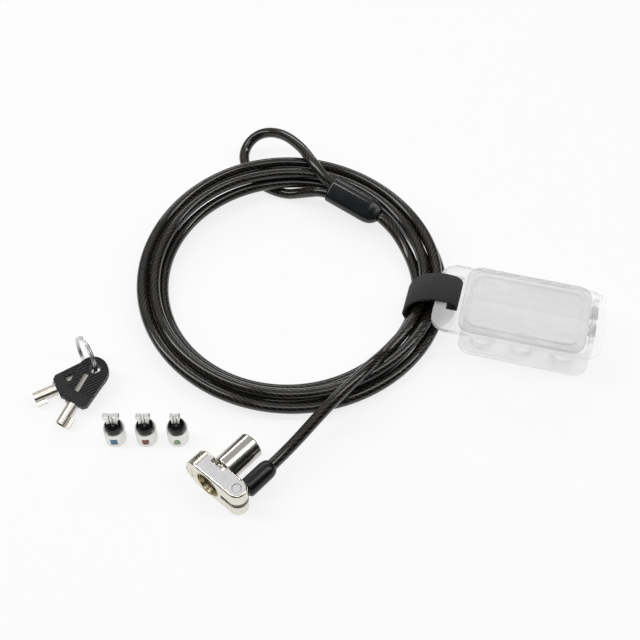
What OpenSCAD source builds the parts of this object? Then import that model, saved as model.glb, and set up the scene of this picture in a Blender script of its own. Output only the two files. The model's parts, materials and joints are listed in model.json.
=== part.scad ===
// Laptop cable lock kit: a keyed lock head that hinges and swivels on a coiled steel cable,
// the cable's end loop, a strap, a clear case for the tips, three locking tips and two keys.
// Millimetres. The kit lies on a table at z = 0, +X to the right, +Y away from the front.

/* [Cable] */
// Outer diameter of the jacketed steel cable
cable_d = 5; // [4.4:0.1:5]

/* [Coil] */
// Radius of the innermost loop, side to side, at the cable's centre
coil_rx = 55.8; // [54.5:0.1:57]
// Radius of the innermost loop, front to back, at the cable's centre
coil_ry = 57.8; // [57:0.1:59]
// Clear gap between neighbouring loops of one layer
loop_gap = 0.6; // [0.5:0.05:0.7]
// Clear gap between the two layers
layer_gap = 0.5; // [0.45:0.05:0.7]

/* [Loop ferrule] */
// Length of the moulded sleeve
ferrule_len = 27.5; // [24:0.5:29]
// Wall of the sleeve round the cable ends
ferrule_wall = 1.2; // [1:0.1:1.3]

/* [Lock head] */
// Height of the bracket
head_h = 14.5; // [13.5:0.1:16]
// Depth of the bracket, front to back
head_depth = 8.7; // [8.2:0.1:10]
// From the socket's axis to the bracket's round left end
head_left = 12.7; // [12.2:0.1:15]
// From the socket's axis to the pivot pin's axis
pivot_x = 12.8; // [12.2:0.1:15]
// Diameter of the socket that takes a tip
socket_d = 9; // [8.6:0.1:9.4]
// Depth of the countersunk step in front of the socket
step_depth = 2.6; // [2:0.1:3]
// Diameter of the countersunk step
step_d = 12; // [11.2:0.1:12.6]
// Diameter of the pivot pin
pivot_d = 3.6; // [3:0.1:4]
// Height of the clevis slot that holds the eye
clevis_gap = 2.6; // [2:0.1:3]

/* [Barrel] */
// Diameter of the chrome barrel
barrel_d = 11.5; // [11:0.1:12.5]
// Length of the barrel behind the bracket
barrel_len = 17; // [16.5:0.5:22]
// Number of pins in the lock
pin_count = 7; // [6:1:8]

/* [Strain relief] */
// Diameter of the strain relief
relief_d = 8; // [7.8:0.1:8.6]
// Length of the strain relief
relief_len = 14.4; // [13:0.2:17]

/* [Tips] */
// Diameter of a tip's metal body
tip_d = 8.8; // [8.4:0.1:9.2]
// Height of a tip's metal body
tip_body_h = 8; // [7.5:0.1:10]
// Height of the black dome above the body
dome_h = 4.8; // [4:0.1:5.4]
// Height of the locking arms above the dome
arm_reach = 4.4; // [4:0.1:5.5]
// Distance between neighbouring tips
tip_pitch = 13; // [11:0.1:15]
// Rise of a spreader from open to locked
spreader_travel = 1; // [0.8:0.1:1.2]

/* [Keys] */
// Distance from a key's tip to the middle of its ring hole
key_reach = 28; // [27:0.5:29]
// Width of a key's head
key_w = 13.2; // [12.6:0.2:14]
// Thickness of a key's head
key_t = 3.6; // [3.4:0.1:3.8]
// Diameter of the ring hole in a key's head
key_hole_d = 5; // [4.8:0.1:5.4]
// Centre diameter of the split ring
ring_d = 17; // [16.6:0.1:17.6]

/* [Strap] */
// Width of the hook-and-loop strap
strap_w = 15.5; // [13:0.5:16.5]
// Thickness of the strap
strap_t = 1.3; // [0.9:0.1:1.4]

/* [Case] */
// Length of the case's flange
case_len = 72.5; // [71:0.5:80]
// Width of the case's flange
case_w = 37; // [35:0.5:42]
// Height of the tray, flange included
case_h = 19.6; // [19:0.1:22]
// Wall of the clear shells
case_wall = 1.2; // [1:0.1:1.5]
// Diameter of the hinge pin
hinge_d = 1.6; // [1.2:0.1:1.8]
// Inner diameter of a tip pocket
pocket_d = 9.6; // [9.4:0.1:10.4]

/* [Hidden] */
$fn = 48;
eps = 0.01;
// Sliding and turning pieces clear each other by these radial gaps.
run_gap = 0.05;
loose_gap = 0.25;

// Where the kit's middle lies among the layout's own places below.
kit_middle = [0.96, -41.45];

// ---------- cable ----------
cable_r = cable_d / 2;
loop_pitch = cable_d + loop_gap;
layer_step = cable_d + layer_gap;
coil_middle = [-13, 19.3];
// Angles where the coil starts, where it turns back, and where it ends: the top layer spirals
// out, the half turn climbs down, and the bottom layer spirals in.
coil_start = -40;
coil_turn_from = 530;
coil_turn_to = 710;
coil_end = 1430;
coil_step = 15;
// The coil lies over the end loop's leg on one side and over the strap on the other.
leg_angle = 105;
leg_lift = cable_d + 0.5;
strap_angle = -10;
strap_lift = strap_t + 0.5;
strap_push = 1.4;
coil_start_offset = 0.5;
// Near the leg the innermost loop of each layer strays inwards: on top that is the first turn,
// and below it the last.
stray_angle = 101;
top_stray = 1.9;
top_stray_power = 16;
bottom_stray = 2.6;
bottom_stray_power = 8;

function unit(v) = v / norm(v);
function along(a, b, s) = a + (b - a) * s;
function loops_out(t) =
    t < coil_turn_from ? coil_start_offset + (t - coil_start) / 360
    : t < coil_turn_to ? loops_out_turn((t - coil_turn_from) / (coil_turn_to - coil_turn_from))
    : loops_at_turn() - (t - coil_turn_to) / 360;
function loops_at_turn() = coil_start_offset + (coil_turn_from - coil_start) / 360;
function loops_out_turn(s) = loops_at_turn() + (s - s * s) / 2;
function layer_at(t) =
    t < coil_turn_from ? 1
    : t < coil_turn_to ? climb((coil_turn_to - t) / (coil_turn_to - coil_turn_from))
    : 0;
function climb(s) = 3 * s * s - 2 * s * s * s;
function bump(t, middle, power) = pow((1 + cos(t - middle)) / 2, power);
function coil_lift(t) = leg_lift * bump(t, leg_angle, 3) + strap_lift * bump(t, strap_angle, 6);
function coil_push(t) = strap_push * bump(t, strap_angle, 6);
function coil_stray(t) =
    t < stray_angle + 0.5 * 360 ? top_stray * bump(t, stray_angle, top_stray_power)
    : t > stray_angle + 2.5 * 360 ? bottom_stray * bump(t, stray_angle, bottom_stray_power)
    : 0;
function coil_out(t) = loops_out(t) * loop_pitch - coil_stray(t);
function coil_point(t) = [
    coil_middle[0] + (coil_rx + coil_push(t) + coil_out(t)) * cos(t),
    coil_middle[1] + (coil_ry + coil_out(t)) * sin(t),
    cable_r + layer_at(t) * layer_step + coil_lift(t)];
function coil_heading(t) = unit(coil_point(t + 0.5) - coil_point(t - 0.5));
// The wound run, with a straight stretch of one diameter at each end.
coil_first = coil_point(coil_start) - coil_heading(coil_start) * cable_d;
coil_last = coil_point(coil_end) + coil_heading(coil_end) * cable_d;
coil_run = concat([coil_first], [for (t = [coil_start : coil_step : coil_end]) coil_point(t)],
    [coil_last]);

// Ferrule: the two ends of its axis, and how far it leans on the coil.
ferrule_left = [5.3, 69, 13.5];
ferrule_azimuth = 145.7;
ferrule_pitch = 5.3;
ferrule_heading = [cos(ferrule_pitch) * cos(ferrule_azimuth),
    cos(ferrule_pitch) * sin(ferrule_azimuth), sin(ferrule_pitch)];
ferrule_right = ferrule_left - ferrule_heading * ferrule_len;
ferrule_lean = -40;
ferrule_w = 2 * cable_d + 2 * ferrule_wall;
ferrule_t = cable_d + 2 * ferrule_wall;
leg_offset = (ferrule_w - ferrule_t) / 2;
ferrule_side = [-sin(ferrule_azimuth), cos(ferrule_azimuth), 0];
ferrule_up = cross(ferrule_heading, ferrule_side);
ferrule_wide = ferrule_side * cos(ferrule_lean) + ferrule_up * sin(ferrule_lean);
upper_leg = ferrule_left - ferrule_wide * leg_offset;
lower_leg = ferrule_left + ferrule_wide * leg_offset;

// Lock head: the socket's mouth on the table, and the way the barrel points.
head_at = [-44.9, -89];
head_azimuth = 48;
barrel_way = [cos(head_azimuth), sin(head_azimuth), 0];
bracket_way = [sin(head_azimuth), -cos(head_azimuth), 0];
function head_point(x, y, z) = [head_at[0], head_at[1], 0] + bracket_way * x + barrel_way * y
    + [0, 0, z];
socket_z = head_h / 2;
pivot_y = head_depth / 2;
relief_y = head_depth + 0.4;
relief_end_y = relief_y + relief_len;
crimp_y = relief_y + 2.1;
crimp_len = 8.3;
lead_y = crimp_y + crimp_len;

// Hand-chosen points of the cable's free stretches.
lead_points = [
    head_point(pivot_x, lead_y, socket_z),
    head_point(pivot_x, relief_end_y + 1, socket_z),
    head_point(pivot_x, relief_end_y + 1.6 * cable_d, socket_z + 0.3),
    [-8.3, -67.7, 9],
    [1.3, -57, 12],
    [9.5, -48.5, 14],
    [17, -40, 14],
    [23.6, -31.4, 12.2]];
tail_points = [[44, 24.3, 4.2], [41.8, 33, 5], [38.3, 40.7, 7], [34.2, 47.1, 9.3]];
loop_points = [[1.8, 74.2, 16.5], [-3.2, 81.6, 18.4], [-9.2, 92.2, 18.4], [-16.8, 102.4, 16.4],
    [-24.4, 108.4, 13.4], [-31, 109.6, 10.4], [-36, 106.8, 7], [-38, 100.8, 4.4], [-36, 93, 2.8],
    [-30, 84.2, 2.6], [-23.4, 79.2, 2.6], [-16.2, 76.2, 2.9], [-9.8, 73.9, 5.6],
    [-4.6, 71.5, 8.8], [-0.2, 69.5, 11.2]];
lead_route = concat(lead_points,
    [coil_first - coil_heading(coil_start) * 4, coil_first]);
tail_route = concat([coil_last], tail_points, [ferrule_right]);
loop_route = concat([upper_leg], loop_points, [lower_leg]);

// A smooth curve through a route's points, with ring places along it.
function curve_point(p, i, s) =
    let (a = p[max(i - 1, 0)], b = p[i], c = p[i + 1], d = p[min(i + 2, len(p) - 1)])
    (2 * b + (c - a) * s + (2 * a - 5 * b + 4 * c - d) * s * s
        + (3 * b - a - 3 * c + d) * s * s * s) / 2;
function curve(p, n) = concat(
    [for (i = [0 : len(p) - 2]) for (k = [0 : n - 1]) curve_point(p, i, k / n)],
    [p[len(p) - 1]]);
function route_length(p) = len(p) < 2 ? 0
    : [for (i = 0, s = 0; i < len(p); i = i + 1, s = s + (i < len(p) ? norm(p[i] - p[i - 1]) : 0))
        s][len(p) - 1];

// One closed tube of flat faces round a run of points.
module tube(run, r, sides) {
    last = len(run) - 1;
    points = [for (i = [0 : last])
        let (ahead = unit(run[min(i + 1, last)] - run[max(i - 1, 0)]),
            side = unit(cross([0, 0, 1], ahead)),
            up = cross(ahead, side))
        for (k = [0 : sides - 1])
            run[i] + r * (side * cos(360 * k / sides + 90) + up * sin(360 * k / sides + 90))];
    walls = [for (i = [0 : last - 1]) for (k = [0 : sides - 1])
        let (a = i * sides + k, b = i * sides + (k + 1) % sides)
        for (f = [[a, a + sides, b], [b, a + sides, b + sides]]) f];
    caps = concat([for (k = [1 : sides - 2]) [0, k, k + 1]],
        [for (k = [1 : sides - 2])
            [last * sides, last * sides + k + 1, last * sides + k]]);
    polyhedron(points = points, faces = concat(walls, caps));
}

// Moves a piece from the layout's places to the kit's own origin.
module place() {
    translate([-kit_middle[0], -kit_middle[1], 0]) children();
}

module cable_lead() {
    color("#2b2723") place() tube(curve(lead_route, 2), cable_r, 8);
}

module cable_coil() {
    color("#2b2723") place() tube(coil_run, cable_r, 6);
}

module cable_tail() {
    color("#2b2723") place() tube(curve(tail_route, 2), cable_r, 8);
}

module cable_loop() {
    color("#2b2723") place() tube(curve(loop_route, 2), cable_r, 8);
}

// ---------- loop ferrule ----------
crimp_wall = 1;
module at_ferrule() {
    place() translate(ferrule_left)
        rotate([ferrule_lean, -ferrule_pitch, ferrule_azimuth]) children();
}

// An oval plate standing across the ferrule's axis.
module oval(w, t, depth) {
    rotate([90, 0, -90]) linear_extrude(depth) {
        square([w - t, t], center = true);
        for (side = [-1, 1]) translate([side * (w - t) / 2, 0]) circle(d = t);
    }
}

crimp_inset = 4;
crimp_t = ferrule_t - 2.4;
crimp_w = ferrule_w - 2.4;
crimp_sleeve_len = ferrule_len - 2 * crimp_inset;

module loop_ferrule() {
    nose = ferrule_len * 0.2;
    color("#1b1c1e") at_ferrule() difference() {
        union() {
            oval(ferrule_w, ferrule_t, ferrule_len - nose);
            hull() {
                translate([-ferrule_len + nose + eps, 0, 0])
                    oval(ferrule_w, ferrule_t, eps, $fn = 32);
                translate([-ferrule_len + nose * 0.3, 0, 0])
                    oval(ferrule_w - 1.4, ferrule_t - 0.5, eps, $fn = 32);
                translate([-ferrule_len + eps, 0, 0])
                    oval(ferrule_w - 4, ferrule_t - 1.6, eps, $fn = 32);
            }
        }
        translate([-crimp_inset, 0, 0]) oval(crimp_w, crimp_t, crimp_sleeve_len);
    }
}

module crimp_sleeve() {
    color("#b8bcc0") at_ferrule() difference() {
        translate([-crimp_inset, 0, 0]) oval(crimp_w, crimp_t, crimp_sleeve_len);
        for (side = [-1, 1]) translate([-crimp_inset + eps, side * leg_offset, 0])
            rotate([0, -90, 0]) cylinder(d = crimp_t - 2 * crimp_wall, h = crimp_sleeve_len + 1);
    }
}

// ---------- lock head ----------
// Places a piece in the head: x along the bracket, y along the barrel, z up.
module at_head() {
    place() translate([head_at[0], head_at[1], 0]) rotate([0, 0, head_azimuth - 90]) children();
}

// A round solid along the socket's axis, from its profile of [radius, y] corners.
module on_axis(profile) {
    translate([0, 0, socket_z]) rotate([-90, 0, 0]) rotate_extrude() polygon(profile);
}

module rod_y(x, z, r, from, to) {
    translate([x, from, z]) rotate([-90, 0, 0]) cylinder(r = r, h = to - from);
}

socket_floor = 6;
neck_d = 8.6;
plug_x = -(head_left + step_d / 2) / 2;
end_plug_d = 4.8;
end_plug_depth = 1.6;
slot_wall = 1.6;
slot_x = step_d / 2 + slot_wall;
notch = [7.4, 2.5, 4.6];

module head_bracket() {
    lobe_r = head_depth / 2;
    end_r = head_h / 2;
    color("#d9d6cc") at_head() difference() {
        intersection() {
            linear_extrude(head_h) {
                translate([-head_left, 0]) square([head_left + pivot_x, head_depth]);
                translate([pivot_x, pivot_y]) circle(r = lobe_r);
            }
            translate([0, head_depth, 0]) rotate([90, 0, 0]) linear_extrude(head_depth) {
                translate([-head_left + end_r, 0])
                    square([head_left - end_r + pivot_x + lobe_r, head_h]);
                translate([-head_left + end_r, end_r]) circle(r = end_r);
            }
        }
        rod_y(0, socket_z, step_d / 2, -1, step_depth);
        rod_y(0, socket_z, socket_d / 2, -1, socket_floor);
        rod_y(0, socket_z, neck_d / 2, socket_floor - 1, head_depth + 1);
        rod_y(plug_x, socket_z, end_plug_d / 2, -1, end_plug_depth);
        translate([pivot_x, pivot_y, -1]) cylinder(d = pivot_d, h = head_h + 2);
        translate([slot_x, -1, socket_z - clevis_gap / 2])
            cube([pivot_x + lobe_r, head_depth + 2, clevis_gap]);
        translate([-notch[0] / 2, head_depth - notch[1], head_h - notch[2]])
            cube([notch[0], notch[1] + 1, notch[2] + 1]);
    }
}

module end_plug() {
    color("#cfcabc") at_head() difference() {
        rod_y(plug_x, socket_z, end_plug_d / 2, 0, end_plug_depth);
        translate([plug_x - 0.15 + 0.8, -1, socket_z - end_plug_d]) cube([0.3, 1.3, 2 * end_plug_d]);
    }
}

module socket_ring() {
    rim = step_d / 2;
    lip = socket_d / 2 + 0.1;
    step = (rim - 0.5 - lip) / 2;
    color("#a08a4c") at_head() on_axis([[rim, 0.2], [rim, step_depth], [lip, step_depth],
        [lip, step_depth * 0.68], [lip + step, step_depth * 0.68], [lip + step, step_depth * 0.36],
        [lip + 2 * step, step_depth * 0.36], [lip + 2 * step, 0.2]]);
}

module pivot_pin() {
    color("#c8c8ca") at_head() translate([pivot_x, pivot_y, 0.3])
        cylinder(d = pivot_d, h = head_h - 0.3);
}

// ---------- barrel and its lock ----------
barrel_y = head_depth + 0.2;
barrel_end = barrel_y + barrel_len;
barrel_r = barrel_d / 2;
barrel_wall = 1.25;
bore_r = barrel_r - barrel_wall;
neck_bore_r = 2.8;
spindle_r = 1.6;
pin_circle_r = 2.42;
pin_hole_r = 0.55;
pin_r = 0.5;
block_y = barrel_y + 1.8;
block_len = 4.6;
plug_y = block_y + block_len + 0.1;
plug_shoulder = barrel_end - 1;
keyway_outer_r = 2.6;
keyway_inner_r = 1.8;
keyway_depth = 6;
keyway_y = barrel_end - keyway_depth;
lip_r = bore_r - 0.5;

module ring_of_pins(r, from, to) {
    for (i = [0 : pin_count - 1])
        rotate_y(360 * i / pin_count) rod_y(pin_circle_r, 0, r, from, to);
}

module rotate_y(angle) {
    translate([0, 0, socket_z]) rotate([0, angle, 0]) children();
}

module barrel_shell() {
    bevel = 0.6;
    color("#c9cacc") at_head() on_axis([[neck_bore_r, socket_floor], [neck_d / 2, socket_floor],
        [neck_d / 2, barrel_y], [barrel_r - bevel, barrel_y], [barrel_r, barrel_y + bevel],
        [barrel_r, barrel_end - bevel], [barrel_r - bevel, barrel_end], [lip_r, barrel_end],
        [lip_r, plug_shoulder], [bore_r, plug_shoulder], [bore_r, block_y],
        [neck_bore_r, block_y]]);
}

module pin_block() {
    color("#b59a55") at_head() difference() {
        on_axis([[spindle_r + run_gap, block_y], [bore_r, block_y],
            [bore_r, block_y + block_len], [spindle_r + run_gap, block_y + block_len]]);
        ring_of_pins(pin_hole_r, block_y + 1, block_y + block_len + 1);
    }
}

module driver_pins() {
    color("#c8b060") at_head() ring_of_pins(pin_r, block_y + 2.3, block_y + block_len - 0.1);
}

module pin_springs() {
    color("#9a9da0") at_head() difference() {
        ring_of_pins(pin_r, block_y + 1.1, block_y + 2.3);
        ring_of_pins(pin_r - 0.2, block_y + 1, block_y + 2.2);
    }
}

module key_plug() {
    plug_r = bore_r - run_gap;
    color("#b9bbbd") at_head() difference() {
        on_axis([[0, plug_y], [plug_r, plug_y], [plug_r, plug_shoulder - run_gap],
            [lip_r - run_gap, plug_shoulder - run_gap], [lip_r - run_gap, barrel_end - 0.2],
            [0, barrel_end - 0.2]]);
        on_axis([[keyway_inner_r, keyway_y], [keyway_outer_r, keyway_y],
            [keyway_outer_r, barrel_end], [keyway_inner_r, barrel_end]]);
        rod_y(0, socket_z, spindle_r, plug_y - 1, plug_y + 2.5);
        ring_of_pins(pin_hole_r, plug_y - 1, keyway_y + 0.1);
        translate([-0.8, plug_shoulder, socket_z])
            cube([1.6, 2, lip_r + 1]);
    }
}

module key_pins() {
    color("#c8b060") at_head() ring_of_pins(pin_r, plug_y + 0.1, keyway_y - 0.3);
}

// The spindle ends in a cross that turns the fitted tip's works.
module drive_spindle() {
    cross_from = socket_floor + 0.3;
    cross_to = cross_from + 2.2;
    cross_w = 1.5 * 2 * spindle_r;
    cross_arm = 0.75 * spindle_r;
    color("#d8d8da") at_head() {
        rod_y(0, socket_z, spindle_r, cross_to - 0.5, plug_y + 2.5);
        for (turn = [0, 90]) rotate_y(turn)
            translate([-cross_w / 2, cross_from, -cross_arm / 2])
                cube([cross_w, cross_to - cross_from, cross_arm]);
    }
}

// ---------- eye, crimp and strain relief ----------
eye_t = clevis_gap - 0.4;
eye_r = pivot_y - 0.35;
eye_neck_w = 1.3 * eye_r;
cup_y = relief_y + 0.3;
cup_end = crimp_y + 4.8;
cup_r = cable_r + 0.9;
crimp_r = cable_r + 0.25;

module swivel_eye() {
    color("#bfc0c2") at_head() difference() {
        union() {
            translate([pivot_x, pivot_y, socket_z - eye_t / 2]) cylinder(r = eye_r, h = eye_t);
            translate([pivot_x - eye_neck_w / 2, pivot_y, socket_z - eye_t / 2])
                cube([eye_neck_w, cup_y - pivot_y + 0.5, eye_t]);
            rod_y(pivot_x, socket_z, cup_r, cup_y, cup_end);
        }
        translate([pivot_x, pivot_y, 0]) cylinder(d = pivot_d + 2 * run_gap, h = head_h);
        rod_y(pivot_x, socket_z, crimp_r + run_gap, crimp_y - 0.2, cup_end + 1);
    }
}

module strain_relief() {
    relief_r = relief_d / 2;
    color("#161718") at_head() difference() {
        translate([pivot_x, 0, socket_z]) rotate([-90, 0, 0]) rotate_extrude()
            polygon([[cup_r, relief_y], [relief_r - 0.3, relief_y], [relief_r, relief_y + 0.3],
                [relief_r, relief_end_y - 3], [relief_r - 0.5, relief_end_y - 1],
                [cable_r + 0.6, relief_end_y], [cable_r + 0.1, relief_end_y],
                [cable_r + 0.1, lead_y], [crimp_r + 0.1, lead_y], [crimp_r + 0.1, cup_end],
                [cup_r, cup_end]]);
    }
}

module cable_crimp() {
    color("#b0b3b6") at_head() rod_y(pivot_x, socket_z, crimp_r, crimp_y, lead_y);
}

// ---------- strap and case ----------
// The case's frame: x along the case from its left edge, y across from its middle.
case_at = [51, -0.6];
case_azimuth = -14.5;

module at_case() {
    place() translate([case_at[0], case_at[1], 0]) rotate([0, 0, case_azimuth]) children();
}

function closed_curve(p, n) = [for (i = [0 : len(p) - 1]) for (k = [0 : n - 1])
    let (m = len(p), a = p[(i + m - 1) % m], b = p[i], c = p[(i + 1) % m], d = p[(i + 2) % m],
        s = k / n)
    (2 * b + (c - a) * s + (2 * a - 5 * b + 4 * c - d) * s * s
        + (3 * b - a - 3 * c + d) * s * s * s) / 2];
function outset(p, w) = [for (i = [0 : len(p) - 1])
    let (m = len(p), ahead = unit(p[(i + 1) % m] - p[(i + m - 1) % m]))
    p[i] + w * [ahead[1], -ahead[0]]];

// The strap's middle line, seen along the coil: over the bundle and the flange's end bar,
// down the slot, and back under the bundle.
slot_from = 5.2;
slot_w = 5;
strap_y = 3.25;
flange_t = 2;
strap_line = [[-13.3, 6.2], [-12.5, 10.2], [-10.8, 13.9], [-8.2, 16.9], [-4.6, case_h - 0.5],
    [-1, case_h + 0.8], [3, case_h + 1], [6.5, case_h + 0.6], [slot_from + 3.5, case_h - 0.7],
    [slot_from + 4.2, case_h - 3], [8.4, 12], [6.6, 7.5], [4.6, 3.4], [1.4, 1], [-5, 0.85],
    [-11, 0.95], [-13, 2.6]];
slot_front = 3;
slot_back = 1;

module strap() {
    line = closed_curve(strap_line, 4);
    color("#1d1e20") at_case() translate([0, strap_y + strap_w / 2, 0]) rotate([90, 0, 0])
        linear_extrude(strap_w) difference() {
            polygon(outset(line, -strap_t / 2));
            polygon(outset(line, strap_t / 2));
        }
}

module rounded(l, w, r) {
    for (y = [r, w - r]) for (x = [r, l - r]) translate([x, y - w / 2]) circle(r = r);
    translate([r, -w / 2]) square([l - 2 * r, w]);
    translate([0, r - w / 2]) square([l, w - 2 * r]);
}

tub_x = slot_from + slot_w + 2.6;
tub_end = case_len - 3;
tub_len = tub_end - tub_x;
tub_w = case_w - 6.1;
tub_r = 6;
corner_r = 7;
lid_x = slot_from + slot_w + 1.4;
lid_t = 1.8;
lid_gap = 0.1;
hinge_x = case_len - 4.8;
knuckle_r = hinge_d / 2 + 0.8;
hinge_z = case_h + knuckle_r + 0.15;
lid_end = hinge_x - knuckle_r - 0.3;
lid_w = case_w - 1;
// The tray's opening stops here: a ledge under the knuckles fills the rest.
opening_end = lid_end - 0.1;
ledge_t = 1.5;
knuckle_w = 5;
knuckle_span = 24;

// Hinge knuckles along the pin: the tray has those at even places, the lid those at odd ones.
module knuckles(odd) {
    count = 5;
    room = knuckle_span / count;
    for (i = [odd : 2 : count - 1])
        translate([hinge_x, -knuckle_span / 2 + i * room + lid_gap, hinge_z]) rotate([-90, 0, 0])
            cylinder(r = knuckle_r, h = room - 2 * lid_gap);
}

module knuckle_feet(odd, from_x, to_x, from_z, to_z) {
    count = 5;
    room = knuckle_span / count;
    for (i = [odd : 2 : count - 1])
        translate([from_x, -knuckle_span / 2 + i * room + lid_gap, from_z])
            cube([to_x - from_x, room - 2 * lid_gap, to_z - from_z]);
}

pocket_h = 5;
pocket_wall = 1;
pocket_y = -6.75;
pocket_pitch = 17.8;
pocket_middle = tub_x + tub_len / 2 - 0.75;

module case_tray() {
    inner_w = tub_w - 2 * case_wall;
    color("#dfe1e3", 0.6) at_case() {
        difference() {
            union() {
                translate([tub_x, 0, 0]) linear_extrude(case_h) rounded(tub_len, tub_w, tub_r);
                translate([0, 0, case_h - flange_t]) linear_extrude(flange_t)
                    rounded(case_len, case_w, corner_r);
                knuckles(0);
                knuckle_feet(0, hinge_x - knuckle_r, hinge_x + knuckle_r,
                    case_h - flange_t, hinge_z);
            }
            translate([tub_x + case_wall, 0, case_wall])
                linear_extrude(case_h - flange_t - ledge_t - case_wall)
                rounded(tub_len - 2 * case_wall, inner_w, tub_r - case_wall);
            translate([tub_x + case_wall, 0, case_wall]) linear_extrude(case_h)
                rounded(opening_end - tub_x - case_wall, inner_w, tub_r - case_wall);
            translate([slot_from, strap_y - strap_w / 2 - slot_front, case_h - flange_t - 1])
                cube([slot_w, slot_front + strap_w + slot_back, flange_t + 2]);
            translate([hinge_x, -knuckle_span, hinge_z]) rotate([-90, 0, 0])
                cylinder(d = hinge_d, h = 2 * knuckle_span);
        }
        for (i = [-1 : 1]) translate([pocket_middle + i * pocket_pitch, pocket_y, case_wall / 2])
            difference() {
                cylinder(d = pocket_d + 2 * pocket_wall, h = pocket_h);
                translate([0, 0, case_wall / 2]) cylinder(d = pocket_d, h = pocket_h);
            }
    }
}

module case_lid() {
    lid_len = lid_end - lid_x;
    rim = 2.5;
    color("#e3e5e7", 0.6) at_case() difference() {
        union() {
            translate([lid_x, 0, case_h + lid_gap]) linear_extrude(lid_t)
                rounded(lid_len, lid_w, tub_r);
            translate([lid_x + rim, 0, case_h + lid_gap + lid_t - eps]) linear_extrude(0.8)
                rounded(lid_len - 2 * rim, lid_w - 2 * rim, tub_r - rim / 2);
            knuckles(1);
            knuckle_feet(1, lid_end - 1, hinge_x, case_h + lid_gap, case_h + lid_gap + lid_t);
        }
        translate([lid_x + rim + 1.2, 0, case_h + lid_gap - 1]) linear_extrude(lid_t)
            rounded(lid_len - 2 * rim - 2.4, lid_w - 2 * rim - 2.4, tub_r - rim / 2 - 0.6);
        translate([hinge_x, -knuckle_span, hinge_z]) rotate([-90, 0, 0])
            cylinder(d = hinge_d + 2 * run_gap, h = 2 * knuckle_span);
    }
}

module case_hinge_pin() {
    color("#dfe2e4") at_case() translate([hinge_x, -knuckle_span / 2 + 0.2, hinge_z])
        rotate([-90, 0, 0]) cylinder(d = hinge_d, h = knuckle_span - 0.4);
}

// ---------- keys and ring ----------
// The two heads lie one on the other, leaning towards the front, with their tips on the table.
// The ring stands on the table and passes up through both ring holes.
key_a_hole = [-96, -33, 8.1];
key_a_azimuth = 64.5;
key_b_azimuth = 27;
key_lean = 15;
key_lean_way = -76;
key_gap = 0.2;
key_step = key_t + key_gap;
tube_r = keyway_outer_r - 0.1;
tube_bore_r = keyway_inner_r + 0.1;
ring_wire = 1;
ring_half = 1;
ring_azimuth = 124;
ring_tilt = 5;
ring_z = ring_d / 2 * cos(ring_tilt) + ring_wire / 2 + 0.15;
ring_reach = sqrt(pow(ring_d / 2, 2) - pow(key_a_hole[2] - ring_z, 2)) - 0.5;

module key_ring() {
    groove = 0.18;
    color("#c4c6c8") place() translate([key_a_hole[0], key_a_hole[1], ring_z])
        rotate([0, 0, ring_azimuth]) translate([ring_reach, 0, 0])
        rotate([90 + ring_tilt, 0, 0]) rotate_extrude() translate([ring_d / 2, 0]) polygon([
            [-ring_wire / 2, -ring_half], [-ring_wire / 2 + groove, 0],
            [-ring_wire / 2, ring_half], [0, ring_half + groove], [ring_wire / 2, ring_half],
            [ring_wire / 2 - groove, 0], [ring_wire / 2, -ring_half],
            [0, -ring_half - groove]]);
}

// Places a key by its ring hole: x from the key's tip towards its head, level 0 on top.
module at_key(azimuth, level) {
    place() translate(key_a_hole)
        rotate(a = key_lean, v = [-sin(key_lean_way), cos(key_lean_way), 0])
        translate([0, 0, level * key_step]) rotate([0, 0, azimuth])
        translate([-key_reach, 0, 0]) children();
}

head_from = 10.2;
head_end = key_reach + key_hole_d;
window = [9, 2.4];
window_at = [head_from + 5.2, 0.6];
tang_t = 1;
tang_y = [-1.2, 3.6];
tang_end = window_at[0] + window[0] + 0.2;

module key_head() {
    end_r = key_w / 2;
    color("#1a1b1c") difference() {
        translate([0, 0, -key_t / 2]) linear_extrude(key_t) {
            translate([head_end - end_r, 0]) circle(r = end_r);
            polygon([[head_end - end_r, end_r], [head_from + 1.5, end_r - 1],
                [head_from, end_r - 2.5], [head_from, -end_r + 2.5],
                [head_from + 1.5, -end_r + 1], [head_end - end_r, -end_r]]);
        }
        translate([key_reach, 0, -key_t]) cylinder(d = key_hole_d, h = 2 * key_t);
        translate([window_at[0], window_at[1], 0]) cube([window[0], window[1], key_t]);
        translate([head_from - 1, tang_y[0] - 0.1, -tang_t / 2 - 0.1])
            cube([tang_end - head_from + 1.1, tang_y[1] - tang_y[0] + 0.2, tang_t + 0.2]);
    }
}

module key_shank() {
    lug = [4.6, 2, 1.4];
    color("#c6c8ca") {
        difference() {
            rotate([0, 90, 0]) cylinder(r = tube_r, h = head_from - 0.2);
            translate([-1, 0, 0]) rotate([0, 90, 0]) cylinder(r = tube_bore_r, h = head_from - 2);
        }
        translate([0, -tube_r - lug[1] + 0.5, -lug[2] / 2]) cube(lug);
        translate([head_from - 1, tang_y[0], -tang_t / 2])
            cube([tang_end - head_from + 1, tang_y[1] - tang_y[0], tang_t]);
    }
}

module key_a_head() {
    at_key(key_a_azimuth, 0) key_head();
}

module key_a_shank() {
    at_key(key_a_azimuth, 0) key_shank();
}

module key_b_head() {
    at_key(key_b_azimuth, -1) key_head();
}

module key_b_shank() {
    at_key(key_b_azimuth, -1) key_shank();
}

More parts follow.
